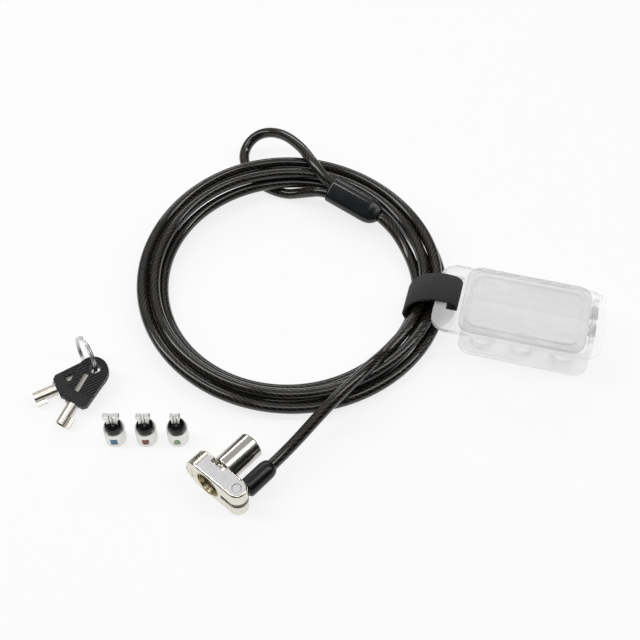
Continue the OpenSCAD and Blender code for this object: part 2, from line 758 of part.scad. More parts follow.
// ---------- tips ----------
// Half widths of each tip's arms: at the hooks on top, and at the legs in the dome.
tip_hooks = [3.4, 2.9, 2.1];
tip_legs = [2.3, 2.1, 1.6];
tip_names = ["a", "b", "c"];
tip_middle = [-71.9, -62.4];
arm_gap = 0.75;
arm_t = 2.2;
blade = 1;
arm_slope = 0.5;
tip_bore_d = 4.6;
cap_d = tip_d - 1.2;
spigot_d = tip_d - 2.2;
spigot_z = tip_body_h - 2.4;
arm_foot_z = spigot_z + 0.7;
arm_top = tip_body_h + dome_h + arm_reach;
dome_top = tip_body_h + dome_h;
wedge_top = arm_foot_z - 0.1;
mark_z = 3.6;
mark_size = 3;
flat_w = 3.6;

module at_tip(i) {
    place() translate([tip_middle[0] + (i - 1) * tip_pitch, tip_middle[1], 0]) children();
}

module tip_body(i) {
    color("#d6d3c9") at_tip(i) difference() {
        cylinder(d = tip_d, h = tip_body_h);
        translate([0, 0, -1]) cylinder(d = tip_bore_d, h = tip_body_h + 2);
        translate([0, 0, spigot_z]) cylinder(d = spigot_d, h = tip_body_h);
        translate([-flat_w / 2, -tip_d, mark_z - flat_w / 2])
            cube([flat_w, tip_d / 2 + 0.4, flat_w]);
    }
}

module tip_cap(i) {
    slot = tip_legs[i] + arm_slope * spreader_travel + loose_gap;
    dome_r = cap_d / 2;
    rise = 0.55 * dome_h;
    color("#191a1b") at_tip(i) difference() {
        union() {
            translate([0, 0, spigot_z + 0.2])
                cylinder(d = spigot_d - 0.02, h = tip_body_h - spigot_z);
            rotate_extrude() polygon(concat([[0, tip_body_h + 0.05]],
                [[dome_r, tip_body_h + 0.05], [dome_r, tip_body_h + dome_h - rise]],
                [for (a = [15 : 15 : 90])
                    [dome_r * (0.3 + 0.7 * cos(a)), tip_body_h + dome_h - rise + rise * sin(a)]],
                [[0, dome_top]]));
        }
        translate([-slot, -arm_t / 2 - loose_gap, spigot_z - 1])
            cube([2 * slot, arm_t + 2 * loose_gap, tip_body_h + dome_h]);
    }
}

// One arm, on the side that side = -1 or 1 names: a leg with a hook on top.
module tip_arm(i, side) {
    hook_z = arm_top - 1.8;
    color("#dcdad2") at_tip(i) translate([0, arm_t / 2, 0]) rotate([90, 0, 0])
        linear_extrude(arm_t) polygon([[side * arm_gap, arm_foot_z], [side * arm_gap, arm_top],
            [side * (tip_hooks[i] - 0.4), arm_top], [side * tip_hooks[i], arm_top - 0.5],
            [side * tip_hooks[i], hook_z], [side * tip_legs[i], hook_z - 0.5],
            [side * tip_legs[i], arm_foot_z]]);
}

module tip_spreader(i) {
    wide = blade / 2 + arm_slope * spreader_travel;
    button_z = 1.2;
    color("#cfcfd0") at_tip(i) {
        translate([0, arm_t / 2, 0]) rotate([90, 0, 0]) linear_extrude(arm_t)
            polygon([[-blade / 2, arm_top - 0.4], [-blade / 2, wedge_top],
                [-wide, wedge_top - spreader_travel], [-wide, button_z + 0.5],
                [wide, button_z + 0.5], [wide, wedge_top - spreader_travel],
                [blade / 2, wedge_top], [blade / 2, arm_top - 0.4]]);
        translate([0, 0, button_z]) cylinder(d = tip_bore_d - 2 * 0.1, h = 1.4);
    }
}

module tip_mark(i) {
    colours = ["#3f86b8", "#8e3a34", "#86b07e"];
    sides = [4, 48, 3];
    turn = [45, 0, 90];
    grow = [1.3, 1, 1.15];
    flat_y = -tip_d / 2 + 0.4;
    color(colours[i]) at_tip(i) translate([0, flat_y, mark_z]) rotate([90, 0, 0])
        linear_extrude(0.3) rotate([0, 0, turn[i]])
            circle(d = mark_size * grow[i], $fn = sides[i]);
}

coil_gap = min([for (i = [1 : len(coil_run) - 2]) for (j = [i + 6 : len(coil_run) - 2])
    norm(coil_run[i] - coil_run[j])]) - cable_d;
echo(coil_gap = coil_gap);
echo(coil_length = route_length(coil_run), lead_length = route_length(curve(lead_route, 8)),
    tail_length = route_length(curve(tail_route, 8)),
    loop_length = route_length(curve(loop_route, 8)));

cable_lead();
cable_coil();
cable_tail();
cable_loop();
loop_ferrule();
crimp_sleeve();
cable_crimp();
strain_relief();
swivel_eye();
pivot_pin();
head_bracket();
end_plug();
socket_ring();
barrel_shell();
pin_block();
driver_pins();
pin_springs();
key_plug();
key_pins();
drive_spindle();
strap();
case_tray();
case_lid();
case_hinge_pin();
key_ring();
key_a_head();
key_a_shank();
key_b_head();
key_b_shank();
for (i = [0 : 2]) {
    tip = str("tip_", tip_names[i], "_");
    tip_body(i);
    tip_cap(i);
    tip_spreader(i);
    tip_arm(i, -1);
    tip_arm(i, 1);
    tip_mark(i);
}
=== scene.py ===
"""Looks for the laptop cable lock kit: what the CAD pieces are made of and how they are finished.

Places are in the layout's millimetres, as in the CAD source, until layout() turns them into metres.
"""

import json
from math import cos, pi, radians, sin, sqrt

import bmesh
import bpy
from mathutils import Matrix, Vector

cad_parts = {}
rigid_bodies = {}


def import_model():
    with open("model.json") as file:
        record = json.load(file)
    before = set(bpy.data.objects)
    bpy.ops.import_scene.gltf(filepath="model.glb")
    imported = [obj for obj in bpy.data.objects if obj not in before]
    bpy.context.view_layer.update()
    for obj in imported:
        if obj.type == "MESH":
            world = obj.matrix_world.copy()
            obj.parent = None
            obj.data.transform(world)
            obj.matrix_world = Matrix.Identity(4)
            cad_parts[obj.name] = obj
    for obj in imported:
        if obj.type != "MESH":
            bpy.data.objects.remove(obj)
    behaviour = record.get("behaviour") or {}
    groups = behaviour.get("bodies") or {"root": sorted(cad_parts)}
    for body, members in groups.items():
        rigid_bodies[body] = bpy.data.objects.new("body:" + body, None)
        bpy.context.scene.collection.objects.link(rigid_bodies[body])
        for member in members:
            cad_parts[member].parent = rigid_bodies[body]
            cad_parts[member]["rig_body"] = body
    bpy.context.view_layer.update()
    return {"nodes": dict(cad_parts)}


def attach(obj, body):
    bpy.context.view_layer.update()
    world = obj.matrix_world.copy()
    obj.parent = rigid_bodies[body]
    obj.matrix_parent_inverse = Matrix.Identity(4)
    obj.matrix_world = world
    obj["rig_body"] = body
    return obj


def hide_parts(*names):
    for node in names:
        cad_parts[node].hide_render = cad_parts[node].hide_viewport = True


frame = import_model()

MM = 0.001
KIT_MIDDLE = Vector((0.96, -41.45, 0))
Z_UP = Vector((0, 0, 1))
CABLE_AND_CASE = "cable_and_case"


# ---------- places ----------
def layout(*place):
    """A place in the layout, in mm, as a point of the row frame in metres."""
    return (Vector(place) - KIT_MIDDLE) * MM


def layout_frame(place, *turns):
    """The matrix from a piece's own millimetres to the row frame. Turns are (degrees, axis)."""
    matrix = Matrix.Translation(layout(*place))
    for degrees, axis in turns:
        matrix = matrix @ Matrix.Rotation(radians(degrees), 4, axis)
    return matrix @ Matrix.Scale(MM, 4)


# Where the lock head's, the case's and the keys' own frames lie in the layout.
HEAD_AT = Vector((-44.9, -89, 0))
HEAD_AZIMUTH = 48
HEAD = layout_frame(HEAD_AT, (HEAD_AZIMUTH - 90, "Z"))
CASE_AT = (51, -0.6, 0)
CASE_AZIMUTH = -14.5
CASE = layout_frame(CASE_AT, (CASE_AZIMUTH, "Z"))

KEY_HOLE = Vector((-96, -33, 8.1))
KEY_REACH = 28
KEY_STEP = 3.8
KEY_LEAN = 15
KEY_LEAN_WAY = radians(-76)
LEAN_AXIS = Vector((-sin(KEY_LEAN_WAY), cos(KEY_LEAN_WAY), 0))


def key_frame(azimuth, level):
    """A key's own frame: x from its tip towards its head."""
    return (
        layout_frame(KEY_HOLE, (KEY_LEAN, LEAN_AXIS))
        @ Matrix.Rotation(radians(azimuth), 4, "Z")
        @ Matrix.Translation((-KEY_REACH, 0, level * KEY_STEP))
    )


# ---------- camera ----------
CAMERA_PITCH = 52
CAMERA_DISTANCE = 513.5
FOCAL_PIXELS = 1140
IMAGE_PIXELS = 640
SENSOR = 36


def add_camera():
    """The camera looks along +Y and down at the layout's own origin."""
    camera = bpy.data.cameras.new("camera")
    camera.sensor_width = SENSOR
    camera.lens = SENSOR * FOCAL_PIXELS / IMAGE_PIXELS
    camera.clip_start = 0.01
    obj = bpy.data.objects.new("camera", camera)
    bpy.context.scene.collection.objects.link(obj)
    pitch = radians(CAMERA_PITCH)
    obj.location = layout(0, -CAMERA_DISTANCE * cos(pitch), CAMERA_DISTANCE * sin(pitch))
    obj.rotation_euler = (pi / 2 - pitch, 0, 0)
    bpy.context.scene.camera = obj


# ---------- materials ----------
class Shader:
    """A Principled material with a few short ways to add procedural nodes to it."""

    def __init__(self, name, **values):
        self.material = bpy.data.materials.new(name)
        self.material.use_nodes = True
        self.nodes = self.material.node_tree.nodes
        self.links = self.material.node_tree.links
        self.surface = self.nodes["Principled BSDF"]
        for socket, value in values.items():
            self.surface.inputs[socket.replace("_", " ")].default_value = value

    def node(self, kind, inputs=None, **settings):
        made = self.nodes.new(kind)
        for key, value in settings.items():
            setattr(made, key, value)
        for key, value in (inputs or {}).items():
            self.feed(made.inputs[key], value)
        return made

    def feed(self, socket, value):
        if isinstance(value, bpy.types.NodeSocket):
            self.links.new(value, socket)
        else:
            socket.default_value = value

    def maths(self, operation, a, b=0.0):
        made = self.node("ShaderNodeMath", operation=operation)
        self.feed(made.inputs[0], a)
        self.feed(made.inputs[1], b)
        return made.outputs[0]

    def place(self, space="Object"):
        return self.node("ShaderNodeTexCoord").outputs[space]

    def noise(self, scale, detail=2.0, where=None, stretch=None):
        where = where or self.place()
        if stretch:
            where = self.node("ShaderNodeMapping", {"Vector": where, "Scale": stretch}).outputs[0]
        made = self.node(
            "ShaderNodeTexNoise", {"Vector": where, "Scale": scale, "Detail": detail}
        )
        return made.outputs["Fac"]

    def ramp(self, value, *stops):
        made = self.node("ShaderNodeValToRGB", {"Fac": value})
        steps = made.color_ramp.elements
        while len(steps) < len(stops):
            steps.new(0.5)
        for step, (position, colour) in zip(steps, stops):
            step.position = position
            step.color = (*colour, 1)
        return made.outputs["Color"]

    def spread(self, value, low, high, from_low=0.0, from_high=1.0):
        made = self.node(
            "ShaderNodeMapRange",
            {"Value": value, "From Min": from_low, "From Max": from_high, "To Min": low,
                "To Max": high},
        )
        return made.outputs[0]

    def colour(self, value, *stops):
        self.links.new(self.ramp(value, *stops), self.surface.inputs["Base Color"])

    def roughness(self, value, low, high):
        self.links.new(self.spread(value, low, high), self.surface.inputs["Roughness"])

    def bump(self, value, depth, strength=1.0):
        """Depth is in millimetres."""
        made = self.node(
            "ShaderNodeBump", {"Height": value, "Distance": depth * MM, "Strength": strength}
        )
        self.links.new(made.outputs[0], self.surface.inputs["Normal"])


def grey(value, tint=(1, 1, 1)):
    return tuple(value * t for t in tint)


STRAND_COUNT = 8
STRAND_LAY = 24


def cable_material():
    """Stranded steel seen through a smooth smoky jacket, the strands' crowns painted lighter as
    highlight and the grooves between them darker as shade. UV: along in mm, and once round.
    """
    made = Shader(
        "cable", Metallic=0.3, Specular_IOR_Level=0.15, Coat_Weight=1.0, Coat_Roughness=0.08,
        Coat_IOR=1.5,
    )
    along, around, _ = made.node(
        "ShaderNodeSeparateXYZ", {"Vector": made.place("UV")}
    ).outputs
    wander = made.noise(0.35, where=made.place("UV"), stretch=(1, 12, 1))
    turn = made.maths("ADD", made.maths("MULTIPLY", around, STRAND_COUNT), wander)
    turn = made.maths("SUBTRACT", turn, made.maths("MULTIPLY", along, STRAND_COUNT / STRAND_LAY))
    strand = made.maths("SINE", made.maths("MULTIPLY", turn, 2 * pi))
    crown = made.spread(strand, 0.0, 1.0, from_low=-1)
    patches = made.noise(0.12, detail=3, where=made.place("UV"), stretch=(1, 20, 1))
    # The strands' own lay pattern, with its crowns painted lighter as highlight and its grooves
    # darker as shade; the patches change the tone at random.
    tone = made.maths("MULTIPLY", crown, made.spread(patches, 0.1, 1.25))
    made.colour(
        tone, (0.0, grey(0.002, (1, 0.86, 0.72))), (0.4, grey(0.008, (1, 0.8, 0.6))),
        (1.0, grey(0.062, (1, 0.79, 0.57))),
    )
    made.roughness(patches, 0.45, 0.62)
    made.bump(crown, 0.2, 0.4)
    return made.material


def plastic(name, low, high, roughness, grain=0.02, tint=(1, 1, 1), **values):
    """Moulded plastic with a fine grain and slow changes of tone."""
    made = Shader(name, **values)
    tone = made.noise(180, detail=3)
    made.colour(tone, (0.35, grey(low, tint)), (0.65, grey(high, tint)))
    made.roughness(made.noise(900, detail=4), roughness - 0.05, roughness + 0.08)
    made.bump(made.noise(4200, detail=2), grain, 0.35)
    return made.material


def metal(name, colour, roughness):
    """Plated or machined metal, with slight clouding of its tone and of its shine."""
    made = Shader(name, Metallic=1.0)
    cloud = made.noise(140, detail=4)
    made.colour(cloud, (0.3, grey(0.93, colour)), (0.7, grey(1.0, colour)))
    made.roughness(made.noise(260, detail=3), roughness * 0.85, roughness * 1.15)
    return made.material


def paint(name, colour):
    """The plain coloured marks on the tips."""
    made = Shader(name)
    made.colour(made.noise(900), (0.3, grey(0.85, colour)), (0.7, grey(1.1, colour)))
    made.roughness(made.noise(1500), 0.3, 0.45)
    return made.material


def clear_plastic(name, tone, milk, clearness):
    """Thin clear plastic, more or less milky, with soft ripples in its faces."""
    made = Shader(name, Transmission_Weight=1 - milk, IOR=1.36, Alpha=1 - clearness)
    made.colour(made.noise(60, detail=3), (0.3, grey(tone * 0.96)), (0.7, grey(tone)))
    made.roughness(made.noise(220, detail=3), 0.12, 0.26)
    made.bump(made.noise(150, detail=3), 0.35, 0.25)
    return made


END_BAR = 12.0
END_BAR_FADE = 1.0


def tray_plastic():
    """Clear, but cloudy in the thick end bar. UV: x and y in mm, in the case's frame."""
    made = clear_plastic("tray", 1.0, milk=0.05, clearness=0.7)
    x, _, _ = made.node("ShaderNodeSeparateXYZ", {"Vector": made.place("UV")}).outputs
    for socket, at_end, beyond in [("Transmission Weight", 0.5, 0.95), ("Alpha", 0.62, 0.3)]:
        value = made.spread(
            x, at_end, beyond, from_low=END_BAR - END_BAR_FADE, from_high=END_BAR + END_BAR_FADE
        )
        made.links.new(value, made.surface.inputs[socket])
    return made.material


WEAVE_PITCH = 1.1


def strap_material():
    """Woven tape, whose warp and weft cross at right angles, with painted highlight on the raised
    crossings and painted shade in the hollows between them. UV: along and across in mm.
    """
    made = Shader("strap", Sheen_Weight=0.08, Sheen_Roughness=0.5, Specular_IOR_Level=0.2)
    along, across, _ = made.node(
        "ShaderNodeSeparateXYZ", {"Vector": made.place("UV")}
    ).outputs
    warp = made.maths("SINE", made.maths("MULTIPLY", across, 2 * pi / WEAVE_PITCH))
    weft = made.maths("SINE", made.maths("MULTIPLY", along, 2 * pi / WEAVE_PITCH))
    cross = made.spread(made.maths("MULTIPLY", warp, weft), 0.0, 1.0, from_low=-1)
    fuzz = made.noise(3.0, detail=4, where=made.place("UV"))
    # The tone follows the weave's bump: raised crossings are painted lighter as highlight and
    # hollows darker as shade, and the fuzz changes the tone at random.
    tone = made.maths("MULTIPLY", cross, made.spread(fuzz, 0.5, 1.0))
    made.colour(tone, (0.1, grey(0.005)), (0.8, grey(0.085)))
    made.roughness(fuzz, 0.75, 0.95)
    made.bump(tone, 0.3, 1.0)
    return made.material


RIB_PITCH = 1.15
RIB_ANGLE = radians(56)
RIBS_FROM = 14.0
RIBS_FADE = 1.5


def ribbed_plastic():
    """Slanting ribs behind a plain collar, with painted highlight on their crowns and painted shade
    in their troughs. UV: x and y in mm, in the key's frame.
    """
    made = Shader("key_plastic", Specular_IOR_Level=0.25)
    x, y, _ = made.node("ShaderNodeSeparateXYZ", {"Vector": made.place("UV")}).outputs
    slant = made.maths(
        "ADD", made.maths("MULTIPLY", x, cos(RIB_ANGLE)), made.maths("MULTIPLY", y, sin(RIB_ANGLE))
    )
    wave = made.maths("SINE", made.maths("MULTIPLY", slant, 2 * pi / RIB_PITCH))
    ribbed = made.spread(x, 0.0, 1.0, from_low=RIBS_FROM, from_high=RIBS_FROM + RIBS_FADE)
    rib = made.maths("MULTIPLY", wave, ribbed)
    # The colour follows the ribs' bump: lighter crowns are painted highlight, darker troughs
    # painted shade.
    tone = made.spread(rib, 0, 1, from_low=-1)
    made.colour(tone, (0.1, grey(0.005)), (0.5, grey(0.013)), (0.9, grey(0.042)))
    made.roughness(made.noise(900), 0.34, 0.46)
    made.bump(rib, 0.16, 0.9)
    return made.material


MATERIALS = {
    "cable": cable_material(),
    "ferrule": plastic("ferrule", 0.011, 0.017, 0.14, grain=0.008, tint=(0.92, 1, 1.1)),
    "rubber": plastic("rubber", 0.001, 0.003, 0.28, grain=0.01, Specular_IOR_Level=0.4),
    "black_gloss": plastic(
        "black_gloss", 0.006, 0.012, 0.14, grain=0.004, Specular_IOR_Level=0.35
    ),
    "key_plastic": ribbed_plastic(),
    "nickel": metal("nickel", (0.79, 0.76, 0.67), 0.2),
    "satin_nickel": metal("satin_nickel", (0.75, 0.74, 0.75), 0.42),
    # The tang's steel is rough, and its colour is darkened as painted shade inside the key heads'
    # windows.
    "tang_steel_painted_shade": metal("tang_steel_painted_shade", (0.36, 0.35, 0.32), 0.5),
    # The swivel eye's steel is coloured dark as painted shade, so that the slot it sits in reads
    # dark.
    "dark_steel": metal("dark_steel", (0.16, 0.14, 0.1), 0.45),
    "chrome": metal("chrome", (0.6, 0.58, 0.54), 0.2),
    "key_nickel": metal("key_nickel", (0.74, 0.71, 0.64), 0.3),
    "steel": metal("steel", (0.82, 0.82, 0.82), 0.36),
    "tip_nickel": metal("tip_nickel", (0.82, 0.81, 0.78), 0.36),
    "brass": metal("brass", (0.42, 0.37, 0.24), 0.24),
    # The lid's tone of 0.8, darker than the tray's, is painted shade for the greyer look it takes
    # from reflection and refraction; its milkiness is its own.
    "lid": clear_plastic("lid", 0.8, milk=0.36, clearness=0.4).material,
    "tray": tray_plastic(),
    "strap": strap_material(),
    "mark_blue": paint("mark_blue", (0.05, 0.24, 0.5)),
    "mark_red": paint("mark_red", (0.3, 0.05, 0.04)),
    "mark_green": paint("mark_green", (0.3, 0.46, 0.26)),
}


# ---------- mesh building ----------
def add_mesh(name, mesh, material, body, stands_for):
    """Puts a finished mesh in the scene as one piece that rides on a CAD body."""
    mesh.materials.clear()
    for each in [material] if isinstance(material, str) else material:
        mesh.materials.append(MATERIALS[each])
    obj = bpy.data.objects.new(name, mesh)
    bpy.context.scene.collection.objects.link(obj)
    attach(obj, body)
    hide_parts(*stands_for)
    return obj


def grid_mesh(name, rings, closed_along=False, uvs=None):
    """A skin over rings of points, each ring closed. Open ends get caps.

    uvs gives the UV of a corner from the number of its ring and its place in the ring.
    """
    bm = bmesh.new()
    rows = [[bm.verts.new(p) for p in ring] for ring in rings]
    layer = bm.loops.layers.uv.new("UVMap")
    count = len(rows)
    sides = len(rows[0])
    for i in range(count if closed_along else count - 1):
        for k in range(sides):
            following = (i + 1) % count
            corners = [(i, k), (following, k), (following, k + 1), (i, k + 1)]
            face = bm.faces.new([rows[a][b % sides] for a, b in corners])
            face.smooth = True
            if uvs:
                for loop, (a, b) in zip(face.loops, corners):
                    loop[layer].uv = uvs(i + 1 if a == following else i, b)
    if not closed_along:
        bm.faces.new(rows[0])
        bm.faces.new(list(reversed(rows[-1])))
    bmesh.ops.recalc_face_normals(bm, faces=bm.faces)
    mesh = bpy.data.meshes.new(name)
    bm.to_mesh(mesh)
    bm.free()
    return mesh


SHARP = radians(32)
ALMOST_FLAT = radians(0.6)
SAME_PLACE = 1e-4


def settle_normals(mesh):
    """Large faces keep their own flat shading, and the bevels between them turn smoothly."""
    obj = bpy.data.objects.new("settling", mesh)
    bpy.context.scene.collection.objects.link(obj)
    weighted = obj.modifiers.new("weighted", "WEIGHTED_NORMAL")
    weighted.keep_sharp = True
    bpy.context.view_layer.update()
    settled = bpy.data.meshes.new_from_object(
        obj.evaluated_get(bpy.context.evaluated_depsgraph_get())
    )
    bpy.data.objects.remove(obj)
    return settled


def softened(mesh, widths, segments=3, unit=MM, merge=True):
    """The mesh with its sharp edges rounded. Widths are (test of an edge, mm) pairs.

    unit is the length of a millimetre in the mesh's own units.
    """
    bm = bmesh.new()
    bm.from_mesh(mesh)
    bmesh.ops.remove_doubles(bm, verts=bm.verts, dist=SAME_PLACE * unit)
    if merge:
        bmesh.ops.dissolve_limit(bm, angle_limit=ALMOST_FLAT, verts=bm.verts, edges=bm.edges)
    for test, width in widths:
        edges = [
            e for e in bm.edges
            if len(e.link_faces) == 2 and e.calc_face_angle(0) > SHARP and test(e)
        ]
        bmesh.ops.bevel(
            bm, geom=edges, offset=width * unit, segments=segments, profile=0.5,
            affect="EDGES", clamp_overlap=True,
        )
    for face in bm.faces:
        face.smooth = True
    for edge in bm.edges:
        edge.smooth = edge.calc_face_angle(0) < SHARP
    made = bpy.data.meshes.new(mesh.name)
    bm.to_mesh(made)
    bm.free()
    return settle_normals(made)


def combined(mesh, others, operation):
    """The mesh with the others cut out of it, or only what lies inside them."""
    objects = [bpy.data.objects.new("solid", each) for each in [mesh, *others]]
    for obj in objects:
        bpy.context.scene.collection.objects.link(obj)
    for other in objects[1:]:
        step = objects[0].modifiers.new("step", "BOOLEAN")
        step.operation = operation
        step.solver = "EXACT"
        step.object = other
    bpy.context.view_layer.update()
    made = bpy.data.meshes.new_from_object(
        objects[0].evaluated_get(bpy.context.evaluated_depsgraph_get())
    )
    for obj in objects:
        bpy.data.objects.remove(obj)
    return made


def every_edge(_):
    return True


def dress(node, material, width=0.2, widths=None, segments=2):
    """A CAD node's own shape with its edges rounded, in place of the node."""
    source = frame["nodes"][node]
    mesh = softened(source.data, widths or [(every_edge, width)], segments)
    body = source["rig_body"]
    return add_mesh(node + "_piece", mesh, material, body, [node])


def add_own_places(obj, to_own):
    """Gives a piece UVs that are x and y in its own millimetres."""
    layers = obj.data.uv_layers
    layer = layers[0] if layers else layers.new(name="UVMap")
    for loop in obj.data.loops:
        own = to_own @ obj.data.vertices[loop.vertex_index].co
        layer.data[loop.index].uv = (own.x, own.y)


# ---------- cable ----------
CABLE_R = 2.5
CABLE_D = 2 * CABLE_R
LOOP_PITCH = 5.6
LAYER_STEP = 5.5
COIL_MIDDLE = (-13, 19.3)
COIL_RADII = (55.8, 57.8)
# Angles along the coil, in degrees. It changes layers between the two turn angles.
COIL_START = -40
COIL_TURN_FROM = 530
COIL_TURN_TO = 710
COIL_END = 1430
COIL_STEP = 3
# Loops between the innermost one and the start.
COIL_START_OFFSET = 0.5
# The coil rises over the end loop's leg, and over the strap, which also pushes it outwards.
LEG_ANGLE = 105
LEG_POWER = 3
LEG_LIFT = 5.5
STRAP_ANGLE = -10
STRAP_POWER = 6
STRAP_LIFT = 1.8
STRAP_PUSH = 1.4
# The innermost loop of each layer strays inwards, in millimetres.
STRAY_ANGLE = 101
TOP_STRAY = 1.9
TOP_STRAY_POWER = 16
BOTTOM_STRAY = 2.6
BOTTOM_STRAY_POWER = 8


def bump_at(t, middle, power):
    """1 at the middle angle and 0 half a turn from it. A higher power makes it narrower."""
    return ((1 + cos(radians(t - middle))) / 2) ** power


def loops_out(t):
    """How many loops out from the innermost one the cable is at angle t."""
    at_turn = COIL_START_OFFSET + (COIL_TURN_FROM - COIL_START) / 360
    if t < COIL_TURN_FROM:
        return COIL_START_OFFSET + (t - COIL_START) / 360
    if t < COIL_TURN_TO:
        share = (t - COIL_TURN_FROM) / (COIL_TURN_TO - COIL_TURN_FROM)
        return at_turn + (share - share * share) / 2
    return at_turn - (t - COIL_TURN_TO) / 360


def layer_at(t):
    """1 on the top layer, 0 on the bottom one, with a smooth way down between them."""
    if t < COIL_TURN_FROM:
        return 1
    if t > COIL_TURN_TO:
        return 0
    share = (COIL_TURN_TO - t) / (COIL_TURN_TO - COIL_TURN_FROM)
    return 3 * share**2 - 2 * share**3


def stray(t):
    """How far the innermost loop of each layer strays inwards near the end loop's leg."""
    if t < STRAY_ANGLE + 0.5 * 360:
        return TOP_STRAY * bump_at(t, STRAY_ANGLE, TOP_STRAY_POWER)
    if t > STRAY_ANGLE + 2.5 * 360:
        return BOTTOM_STRAY * bump_at(t, STRAY_ANGLE, BOTTOM_STRAY_POWER)
    return 0


def coil_point(t):
    """The top layer spirals out, and the bottom one spirals back in."""
    out = loops_out(t) * LOOP_PITCH - stray(t)
    at_strap = bump_at(t, STRAP_ANGLE, STRAP_POWER)
    push = STRAP_PUSH * at_strap
    lift = LEG_LIFT * bump_at(t, LEG_ANGLE, LEG_POWER) + STRAP_LIFT * at_strap
    return Vector((
        COIL_MIDDLE[0] + (COIL_RADII[0] + push + out) * cos(radians(t)),
        COIL_MIDDLE[1] + (COIL_RADII[1] + out) * sin(radians(t)),
        CABLE_R + layer_at(t) * LAYER_STEP + lift,
    ))


def coil_heading(t):
    return (coil_point(t + 0.5) - coil_point(t - 0.5)).normalized()


FERRULE_LEFT = Vector((5.3, 69, 13.5))
FERRULE_AZIMUTH = 145.7
FERRULE_PITCH = 5.3
FERRULE_LEAN = -40
FERRULE_LEN = 27.5
FERRULE_W = 12.4
FERRULE_T = 7.4
LEG_OFFSET = (FERRULE_W - FERRULE_T) / 2
FERRULE = layout_frame(
    FERRULE_LEFT, (FERRULE_AZIMUTH, "Z"), (-FERRULE_PITCH, "Y"), (FERRULE_LEAN, "X")
)


def ferrule_point(x, y):
    """A place in the ferrule's own frame, back in the layout's millimetres."""
    return FERRULE @ Vector((x, y, 0)) / MM + KIT_MIDDLE


def head_point(x, y, z):
    return HEAD @ Vector((x, y, z)) / MM + KIT_MIDDLE


PIVOT_X = 12.8
SOCKET_Z = 7.25
# Places along the cable's axis at the lock head.
RELIEF_START = 9.1
LEAD_FROM = 19.5
RELIEF_END = 23.5


def curve_through(points, pieces):
    """A smooth curve through the points, with each stretch between them cut into pieces."""
    made = []
    last = len(points) - 1
    for i in range(last):
        a, b = points[max(i - 1, 0)], points[i]
        c, d = points[i + 1], points[min(i + 2, last)]
        for k in range(pieces):
            s = k / pieces
            made.append((
                2 * b + (c - a) * s + (2 * a - 5 * b + 4 * c - d) * s**2
                + (3 * b - a - 3 * c + d) * s**3
            ) / 2)
    return made + [points[last]]


LEAD_STRAIGHT = 8
LEAD_RISE = 0.3
LEAD_MERGE = 4
LEAD_POINTS = [
    (-8.3, -67.7, 9), (1.3, -57, 12), (9.5, -48.5, 14), (17, -40, 14), (23.6, -31.4, 12.2),
]
TAIL_POINTS = [(44, 24.3, 4.2), (41.8, 33, 5), (38.3, 40.7, 7), (34.2, 47.1, 9.3)]
ROUTE_PIECES = 6
TAIL_PIECES = 5
ROUTE_STEP = 2.0
EASING_ROUNDS = 8


def eased(route):
    """The route in even steps, its corners rounded as a stiff cable rounds them."""
    run = [0.0]
    for a, b in zip(route, route[1:]):
        run.append(run[-1] + (b - a).length)
    count = round(run[-1] / ROUTE_STEP)
    even = []
    i = 0
    for step in range(count + 1):
        at = run[-1] * step / count
        while i < len(route) - 2 and run[i + 1] < at:
            i += 1
        even.append(route[i].lerp(route[i + 1], (at - run[i]) / (run[i + 1] - run[i])))
    for _ in range(EASING_ROUNDS):
        middles = [(a + 2 * b + c) / 4 for a, b, c in zip(even, even[1:], even[2:])]
        even = [even[0], *middles, even[-1]]
    return even


def main_route():
    """From inside the strain relief, round the coil and into the ferrule."""
    first = coil_point(COIL_START) - coil_heading(COIL_START) * CABLE_D
    last = coil_point(COIL_END) + coil_heading(COIL_END) * CABLE_D
    lead = [
        head_point(PIVOT_X, LEAD_FROM, SOCKET_Z),
        head_point(PIVOT_X, RELIEF_END + 1, SOCKET_Z),
        head_point(PIVOT_X, RELIEF_END + LEAD_STRAIGHT, SOCKET_Z + LEAD_RISE),
        *map(Vector, LEAD_POINTS),
        first - coil_heading(COIL_START) * LEAD_MERGE,
        first,
    ]
    coil = [coil_point(t) for t in range(COIL_START, COIL_END + 1, COIL_STEP)]
    tail = [last, *map(Vector, TAIL_POINTS), ferrule_point(-FERRULE_LEN, 0)]
    return eased(curve_through(lead, ROUTE_PIECES) + coil + curve_through(tail, TAIL_PIECES))


LOOP_POINTS = [
    (1.8, 74.2, 16.5), (-3.2, 81.6, 18.4), (-9.2, 92.2, 18.4), (-16.8, 102.4, 16.4),
    (-24.4, 108.4, 13.4), (-31, 109.6, 10.4), (-36, 106.8, 7), (-38, 100.8, 4.4),
    (-36, 93, 2.8), (-30, 84.2, 2.6), (-23.4, 79.2, 2.6), (-16.2, 76.2, 2.9), (-9.8, 73.9, 5.6),
    (-4.6, 71.5, 8.8), (-0.2, 69.5, 11.2),
]


def loop_route():
    """Out of one side of the ferrule, round the end loop and back into its other side."""
    ends = [ferrule_point(0, side * LEG_OFFSET) for side in (-1, 1)]
    return curve_through([ends[0], *map(Vector, LOOP_POINTS), ends[1]], ROUTE_PIECES)


CABLE_SIDES = 20


